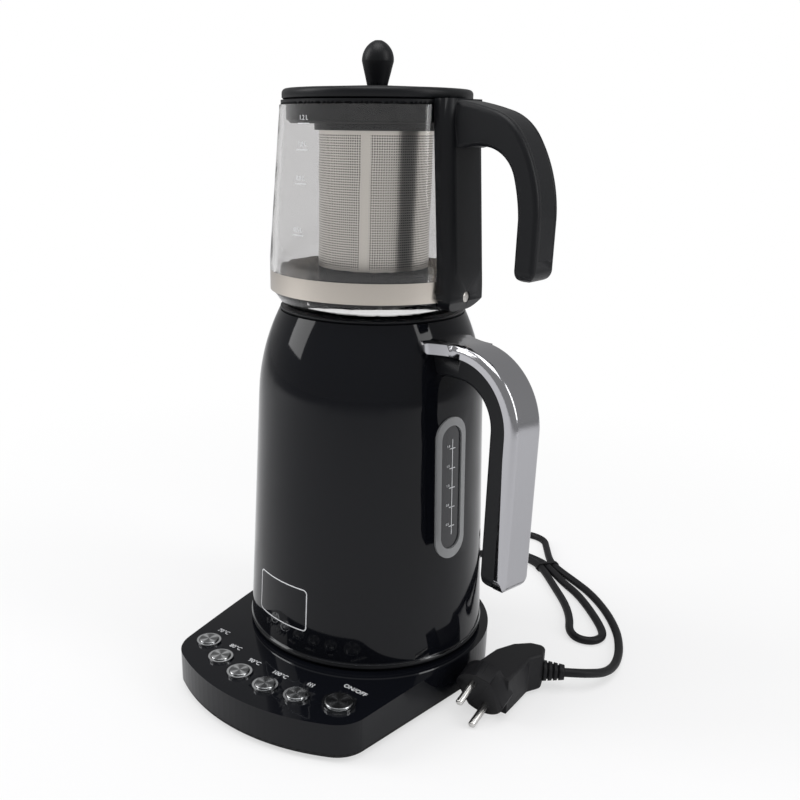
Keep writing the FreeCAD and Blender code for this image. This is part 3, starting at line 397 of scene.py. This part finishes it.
# %% The cord's route
CORD_WIDTH = 6.2 * MM
LEAD = [(0, 98.5, 14), (0, 106, 14), (0, 115, 13.6), (-2, 128, 9), (-6, 143, 4.4), (-10, 158, 3.2),
        (-12, 172, 3.2), (-12, 184, 3.2), (-6, 198, 3.2), (7, 206, 3.2), (22, 208.5, 3.4), (39.7, 202.9, 4.1)]
INNER = [(52.1, 192.9, 4.1), (72, 172, 3.2), (92, 150, 3.2), (105, 130, 3.2)]
NEAR_FOLD = [(112, 113, 3.2), (122, 105, 3.2), (133, 108, 3.2), (137, 119, 3.2), (131, 131, 3.2)]
MIDDLE = [(113, 152, 3.2), (93, 172, 3.2), (74, 184.5, 3.2), (56.2, 198, 4.1), (43.8, 208, 4.1),
          (14.1, 214.3, 3.2)]
FAR_FOLD = [(-2.5, 217.9, 3.2), (-11.7, 232.2, 3.2), (-8, 248.7, 3.2), (6.4, 257.7, 3.2), (22.9, 253.8, 3.2)]
OUTER = [(31.8, 239.3, 3.2), (47.9, 213.1, 4.1), (60.3, 203.1, 4.1), (80, 193, 3.2), (101, 180, 3.2),
         (124, 158, 3.2), (142, 134, 3.2)]
TAIL = [(152, 114, 3.2), (158, 96, 3.6), (160.4, 80, 4.8), (159.5, 65, 8), (155, 52.5, 12), (149, 45, 13.5),
        (141, 40, 13.5)]
ROUTE = [Vector(spot) * MM for spot in LEAD + INNER + NEAR_FOLD + MIDDLE + FAR_FOLD + OUTER + TAIL]
STEPS_PER_BEND = 60


def route_length(points):
    """The length of the smooth curve that the points steer."""
    joins = [(a + b) / 2 for a, b in zip(points[1:-2], points[2:-1])]
    starts, ends = [points[0]] + joins, joins + [points[-1]]
    total, before = 0.0, points[0]
    for start, bend, end in zip(starts, points[1:-1], ends):
        for step in range(1, STEPS_PER_BEND + 1):
            t = step / STEPS_PER_BEND
            here = start * (1 - t) ** 2 + bend * 2 * t * (1 - t) + end * t ** 2
            total += (here - before).length
            before = here
    return total


cord_length = route_length(ROUTE)
print("cord:", round(cord_length, 3), "m,", len(ROUTE), "points")

# %% [markdown]
# The tie is a flat band round the three strands. Two circles, one inside the other, are drawn out sideways
# and bridged, and the flat ring between them is extruded along the strands.

# %% Tie
TIE_MIDDLE = Vector((50, 203, 4.1)) * MM
TIE_LINE, TIE_SIDE = Vector((0.78, -0.62, 0)), Vector((0.62, 0.78, 0))
TIE_FLANK, STRAND_ROOM = 6.65 * MM, 3.15 * MM
TIE_THICK, TIE_LENGTH = 0.8 * MM, 3.2 * MM
shape = bmesh.new()
for radius in (STRAND_ROOM, STRAND_ROOM + TIE_THICK):
    circle = bmesh.ops.create_circle(shape, cap_ends=False, radius=radius, segments=32)
    for corner in circle["verts"]:
        corner.co.x += math.copysign(TIE_FLANK, corner.co.x)
bmesh.ops.bridge_loops(shape, edges=shape.edges)
swept = bmesh.ops.extrude_face_region(shape, geom=shape.faces[:])["geom"]
far_side = [item for item in swept if isinstance(item, bmesh.types.BMVert)]
bmesh.ops.translate(shape, vec=(0, 0, TIE_LENGTH), verts=far_side)
bmesh.ops.translate(shape, vec=(0, 0, -TIE_LENGTH / 2), verts=shape.verts)
stand = Matrix((TIE_SIDE, (0, 0, 1), TIE_LINE)).transposed().to_4x4()
bmesh.ops.transform(shape, matrix=Matrix.Translation(TIE_MIDDLE) @ stand, verts=shape.verts)
bmesh.ops.recalc_face_normals(shape, faces=shape.faces)
hank_tie = finished("hank_tie", shape, "power_base", tray_black)
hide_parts("cord_tie")
print("tie:", len(hank_tie.data.polygons), "faces")

# %% [markdown]
# The curve gets its thickness from its bevel.

# %% Cord
gland_low, gland_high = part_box("cord_gland")
EXIT = Vector((0, gland_high.y, (gland_low.z + gland_high.z) / 2))
curve = bpy.data.curves.new("supply_cord", "CURVE")
curve.dimensions = "3D"
line = curve.splines.new("NURBS")
line.points.add(len(ROUTE) - 1)
for point, spot in zip(line.points, ROUTE):
    point.co = (*spot, 1)
line.order_u = 3
line.use_endpoint_u = True
line.resolution_u = 10
curve.bevel_depth = CORD_WIDTH / 2
curve.bevel_resolution = 6
curve.use_fill_caps = True
supply_cord = bpy.data.objects.new("supply_cord", curve)
bpy.context.scene.collection.objects.link(supply_cord)
curve.materials.append(rubber_black.material)
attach(supply_cord, "power_base")
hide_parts("cord_lead", "cord_hank", "cord_tail")
print("cord leaves the base at", [round(v, 4) for v in EXIT])

# %% [markdown]
# The sleeve keeps the cord from kinking where it leaves the base. It is turned: half of its outline is drawn,
# with five ribs that grow thinner, and spinning it once round the cord's line makes the solid.

# %% Sleeve
SLEEVE_BORE, COLLAR_RADIUS, TIP_RADIUS = 3.15, 5.6, 3.7
COLLAR_START, COLLAR_END, TIP_END = -14, -8, 21.5
RIBS, FIRST_RIB, RIB_PITCH, RIB_RADIUS, RIB_TAPER = 5, -7.6, 5.6, 5.5, 0.36
outline = [(COLLAR_START, SLEEVE_BORE), (COLLAR_START, COLLAR_RADIUS), (COLLAR_END, COLLAR_RADIUS)]
for rib in range(RIBS):
    start, radius = FIRST_RIB + RIB_PITCH * rib, RIB_RADIUS - RIB_TAPER * rib
    outline += [(start, radius), (start + 3.4, radius - 0.1)]
    outline += [(start + 3.8, radius - 0.8), (start + 5.2, radius - 0.9)]
outline += [(TIP_END, TIP_RADIUS), (TIP_END, SLEEVE_BORE)]
shape = bmesh.new()
corners = [shape.verts.new(EXIT + Vector((0, along, radius)) * MM) for along, radius in outline]
edges = [shape.edges.new(ends) for ends in zip(corners, corners[1:] + corners[:1])]
bmesh.ops.spin(shape, geom=corners + edges, cent=EXIT, axis=(0, 1, 0), dvec=(0, 0, 0), angle=math.tau,
               steps=48, use_merge=True, use_duplicate=False)
bmesh.ops.remove_doubles(shape, verts=shape.verts, dist=SPUN_CORNER)
bmesh.ops.recalc_face_normals(shape, faces=shape.faces)
cord_sleeve = finished("cord_sleeve", shape, "power_base", rubber_black)
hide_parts("cord_gland")
print("sleeve:", TIP_END - COLLAR_START, "mm long,", RIBS, "ribs")

# %% [markdown]
# ## Printing
# Each water temperature is printed behind its button in white. Text starts as a curve, becomes a mesh, and is
# then laid on the sloping panel as a film a tenth of a millimetre thick.

# %% Printed words and numbers
PRINT_THICK = 0.12 * MM
FILM_LIFT = 0.6 * PRINT_THICK
CAPITAL_SHARE = 0.7


def stood(place, across, up):
    """The matrix that stands a flat drawing at a place, read along across, with its top towards up."""
    across, up = Vector(across).normalized(), Vector(up).normalized()
    return Matrix.Translation(place) @ Matrix((across, up, across.cross(up))).transposed().to_4x4()


def printed(name, words, height, place, across, up, body):
    """Words as a thin film, with capitals of a height in millimetres."""
    letters = bpy.data.curves.new(name, "FONT")
    letters.body = words
    letters.size = height * MM / CAPITAL_SHARE
    letters.align_x = "CENTER"
    letters.align_y = "CENTER"
    letters.offset = 0.002 * height * MM
    letters.extrude = PRINT_THICK / 2
    letters.resolution_u = 3
    flat = bpy.data.objects.new(name + "_letters", letters)
    bpy.context.scene.collection.objects.link(flat)
    bpy.context.view_layer.update()
    mesh = bpy.data.meshes.new_from_object(flat)
    bpy.data.objects.remove(flat)
    mesh.transform(stood(place, across, up))
    mesh.materials.clear()
    mesh.materials.append(print_white.material)
    piece = bpy.data.objects.new(name, mesh)
    bpy.context.scene.collection.objects.link(piece)
    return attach(piece, body)


print("a film is", round(PRINT_THICK / MM, 2), "mm thick")

# %% [markdown]
# The panel slopes towards its front, so a ray is dropped on it at each label, and two more beside it find the
# slope there.

# %% Labels on the panel
LABELS = {"button_70": "70°C", "button_80": "80°C", "button_90": "90°C", "button_100": "100°C",
          "button_power": "ON/OFF"}
LABEL_HEIGHT, LABEL_BEHIND, POWER_BEHIND = 3.4, 14.5 * MM, 17.0 * MM
ABOVE_PANEL, PROBE = 50 * MM, 2 * MM
cover = nodes["base_cover"].data
panel = BVHTree.FromPolygons([v.co for v in cover.vertices], [tuple(f.vertices) for f in cover.polygons])


def panel_height(x, y):
    """How high the panel stands at a place, found by looking straight down on it."""
    return panel.ray_cast(Vector((x, y, ABOVE_PANEL)), Vector((0, 0, -1)))[0].z


def on_panel(name, behind):
    """A place just above the panel behind a button, and the two directions in which a label lies there."""
    spot = middle(name) + Vector((0, behind, 0))
    here = panel_height(spot.x, spot.y)
    across = Vector((PROBE, 0, panel_height(spot.x + PROBE, spot.y) - here)).normalized()
    up = Vector((0, PROBE, panel_height(spot.x, spot.y + PROBE) - here)).normalized()
    return Vector((spot.x, spot.y, here)) + across.cross(up) * FILM_LIFT, across, up


for name, words in LABELS.items():
    behind = POWER_BEHIND if name == "button_power" else LABEL_BEHIND
    printed("print_" + name, words, LABEL_HEIGHT, *on_panel(name, behind), "power_base")
print("printed labels:", len(LABELS))

# %% [markdown]
# The sixth button keeps the water warm, so it gets the usual sign of rising heat: three wavy strokes.
# Straight strokes, such as the level marks on the window and the jug, are thin boxes that share one mesh, and
# a wave is a row of short ones.

# %% Strokes
WAVE = [(0.0, -1.8), (0.45, -1.1), (-0.45, 0.0), (0.45, 1.1), (0.0, 1.8)]
WAVE_GAP, STROKE_WIDTH, STROKE_OVERLAP, STROKES_PER_LEG = 1.8, 0.5, 0.12, 4


def strokes(name, bars, place, across, up, body):
    """Thin printed bars, each (middle across, middle up, width, height) in millimetres."""
    shape = bmesh.new()
    for along, above, width, height in bars:
        made = bmesh.ops.create_cube(shape, size=1)
        bmesh.ops.scale(shape, vec=(width * MM, height * MM, PRINT_THICK), verts=made["verts"])
        bmesh.ops.translate(shape, vec=(along * MM, above * MM, 0), verts=made["verts"])
    bmesh.ops.transform(shape, matrix=stood(place, across, up), verts=shape.verts)
    return finished(name, shape, body, print_white)


bars = []
for wave in (-WAVE_GAP, 0.0, WAVE_GAP):
    for (x0, y0), (x1, y1) in zip(WAVE, WAVE[1:]):
        stroke_height = abs(y1 - y0) / STROKES_PER_LEG + STROKE_OVERLAP
        for step in range(STROKES_PER_LEG):
            t = (step + 0.5) / STROKES_PER_LEG
            bars.append((wave + x0 + (x1 - x0) * t, y0 + (y1 - y0) * t, STROKE_WIDTH, stroke_height))
strokes("print_keep_warm", bars, *on_panel("button_keep_warm", LABEL_BEHIND), "power_base")
print("strokes in the sign of heat:", len(bars))

# %% [markdown]
# The jug and the window carry level marks. Each stands just clear of the surface behind it, and moves with
# the piece that it is printed on. Both walls run straight from a foot to a top, so the radius at any height
# follows from two points, each a radius and a height.


# %% Level marks on the jug
def facing(degrees):
    """The way out from the tea maker's middle line at a bearing, and the way round it."""
    angle = math.radians(degrees)
    return Vector((math.cos(angle), math.sin(angle), 0)), Vector((-math.sin(angle), math.cos(angle), 0))


def wall_radius(foot, top, height):
    """The outer radius at a height of a wall that runs straight from its foot to its top."""
    return foot.x + (top.x - foot.x) * (height - foot.y) / (top.y - foot.y)


JUG_BELLY, JUG_RIM = Vector((66.4, 286.9)) * MM, Vector((59.5, 374.5)) * MM
JUG_BEARING, JUG_CLEAR, JUG_NUMBER, NUMBER_ABOVE = -98.0, 0.25 * MM, 2.6, Vector((0, 0, 3.0)) * MM
JUG_LEVELS = {"0.5 L": 305.0, "0.8 L": 334.0, "1.0 L": 352.7, "1.2 L": 367.0}
UP = Vector((0, 0, 1))
out, across = facing(JUG_BEARING)
for words, height in JUG_LEVELS.items():
    tag = words[:3].replace(".", "_")
    place = out * (wall_radius(JUG_BELLY, JUG_RIM, height * MM) + JUG_CLEAR) + UP * height * MM
    strokes("jug_mark_" + tag, [(0, 0, 9.5, 0.45)], place, across, UP, "jug")
    printed("jug_print_" + tag, words, JUG_NUMBER, place + NUMBER_ABOVE, across, UP, "jug")
print("jug levels:", len(JUG_LEVELS))

# %% [markdown]
# The window has one long line with five short ones across it, and a number at each. They lean inwards with
# the kettle's wall.

# %% Level marks on the window
KETTLE_FOOT, KETTLE_WAIST = Vector((83.0, 36.3)) * MM, Vector((75.0, 200.0)) * MM
WINDOW_BEARING, WINDOW_CLEAR, WINDOW_NUMBER = -12.0, 0.1 * MM, 1.6
LINE_ACROSS, LINE_HEIGHT, NUMBER_ACROSS, NUMBER_UP = 1.2, 64, -2.6, 1.8
WINDOW_LEVELS = {"0.5": -26, "0.8": -13, "1.0": 0, "1.5": 13, "1.8": 26}
window_height = middle("window_lens").z
out, across = facing(WINDOW_BEARING)
up = UP + out * (KETTLE_WAIST.x - KETTLE_FOOT.x) / (KETTLE_WAIST.y - KETTLE_FOOT.y)
place = out * (wall_radius(KETTLE_FOOT, KETTLE_WAIST, window_height) + WINDOW_CLEAR) + UP * window_height
bars = [(LINE_ACROSS, 0, 0.5, LINE_HEIGHT)]
bars += [(LINE_ACROSS, height, 5.0, 0.5) for height in WINDOW_LEVELS.values()]
strokes("window_scale", bars, place, across, up, "kettle")
for words, height in WINDOW_LEVELS.items():
    spot = place + up.normalized() * (height + NUMBER_UP) * MM + across * NUMBER_ACROSS * MM
    printed("window_print_" + words.replace(".", "_"), words, WINDOW_NUMBER, spot, across, up, "kettle")
print("window levels:", len(WINDOW_LEVELS))

# %% [markdown]
# A plate sits low on the kettle's side. It is left bare, with only its thin bright border: a rectangle whose
# corners are bevelled, inset to a ring, and wrapped round the kettle's cone.

# %% Bare plate
PLATE_BEARING, PLATE_WIDTH, PLATE_HEIGHT, PLATE_Z = math.radians(-99.2), 47.5, 30.0, 67.5
PLATE_CORNER, BORDER_WIDTH, BORDER_CLEAR, BORDER_THICK = 3.2, 0.75, 0.08 * MM, 0.1 * MM
LONG_EDGE = 10
shape = bmesh.new()
bmesh.ops.create_grid(shape, x_segments=1, y_segments=1, size=0.5)
bmesh.ops.scale(shape, vec=(PLATE_WIDTH, PLATE_HEIGHT, 1), verts=shape.verts)
bmesh.ops.bevel(shape, geom=shape.verts, offset=PLATE_CORNER, segments=6, profile=0.5, affect="VERTICES",
                material=-1)
shape.normal_update()
bmesh.ops.inset_region(shape, faces=shape.faces[:], thickness=BORDER_WIDTH, use_boundary=True,
                       use_even_offset=True)
centre_face = max(shape.faces, key=lambda face: face.calc_area())
bmesh.ops.delete(shape, geom=[centre_face], context="FACES")
long_edges = [edge for edge in shape.edges if edge.calc_length() > LONG_EDGE]
bmesh.ops.subdivide_edges(shape, edges=long_edges, cuts=14, use_grid_fill=True)
plate_radius = wall_radius(KETTLE_FOOT, KETTLE_WAIST, PLATE_Z * MM)
for corner in shape.verts:
    height = (PLATE_Z + corner.co.y) * MM
    radius = wall_radius(KETTLE_FOOT, KETTLE_WAIST, height) + BORDER_CLEAR
    bearing = PLATE_BEARING + corner.co.x * MM / plate_radius
    corner.co = (radius * math.cos(bearing), radius * math.sin(bearing), height)
bmesh.ops.recalc_face_normals(shape, faces=shape.faces)
bmesh.ops.solidify(shape, geom=shape.faces, thickness=BORDER_THICK)
bmesh.ops.recalc_face_normals(shape, faces=shape.faces)
plate_border = finished("plate_border", shape, "kettle", print_white)
print("plate border:", len(plate_border.data.polygons), "faces")

# %% [markdown]
# ## The studio
# A white floor and a bright, even surround show the black object by its outline and its soft reflections.
# The floor keeps a soft shadow near the object. What the camera sees of it fades to plain white further out,
# while the light that it throws on the object stays as it is.

# %% Floor
FLOOR_SIZE, FADE_START, FADE_END, NEAR_SHARE = 12, 0.12, 0.75, 0.6
bpy.ops.mesh.primitive_plane_add(size=FLOOR_SIZE)
floor = bpy.context.active_object
floor.name = "studio floor"
paint = Finish("floor white", base_color=(0.86, 0.86, 0.87), roughness=0.9, specular_ior_level=0.1)
glow = paint.add("ShaderNodeEmission", {}, {"Strength": 1.0})
reach = paint.add("ShaderNodeVectorMath", {"operation": "LENGTH"}, {0: paint.point()}, "Value")
fade = paint.add("ShaderNodeMapRange", {"interpolation_type": "SMOOTHSTEP"},
                 {"Value": reach, "From Min": FADE_START, "From Max": FADE_END, "To Min": NEAR_SHARE,
                  "To Max": 1.0})
matt = Wire(paint, paint.shader.outputs[0])
blend = paint.add("ShaderNodeMixShader", {}, {0: paint.seen() * fade, 1: matt, 2: glow})
paint.plug(paint.tree.nodes["Material Output"].inputs[0], blend)
floor.data.materials.append(paint.material)
print("floor:", FLOOR_SIZE, "m wide")

# %% [markdown]
# The surround is white where the camera sees it, and dimmer as a light, so that the black plastic keeps its
# depth. Two tall lamps stand for windows on the left and the right, and a wide one hangs above.

# %% Surround and lamps
SKY_LIGHT = 0.38
AIM = Vector((0, 0, 0.2))
world = bpy.data.worlds.new("studio")
bpy.context.scene.world = world
world.use_nodes = True
surround = Graph(world.node_tree)
sky = surround.tree.nodes["Background"]
surround.plug(sky.inputs["Color"], (1, 1, 1))
surround.plug(sky.inputs["Strength"], surround.seen() * (1 - SKY_LIGHT) + SKY_LIGHT)


def lamp(name, place, width, height, watts):
    """A rectangle of light that faces the kettle."""
    light = bpy.data.lights.new(name, "AREA")
    light.shape = "RECTANGLE"
    light.size, light.size_y = width, height
    light.energy = watts
    holder = bpy.data.objects.new(name, light)
    holder.location = place
    holder.rotation_euler = (AIM - Vector(place)).to_track_quat("-Z", "Y").to_euler()
    bpy.context.scene.collection.objects.link(holder)


lamp("left window", (-1.3, -0.9, 1.2), 0.8, 1.4, 16)
lamp("right window", (1.5, 0.3, 1.0), 0.5, 1.3, 9)
lamp("top softbox", (0.1, -0.2, 1.9), 1.2, 1.2, 16)
print("lamps:", len(bpy.data.lights))

# %% [markdown]
# ## Finish
# The Standard view keeps white white.

# %% Finish
bpy.context.scene.view_settings.view_transform = "Standard"
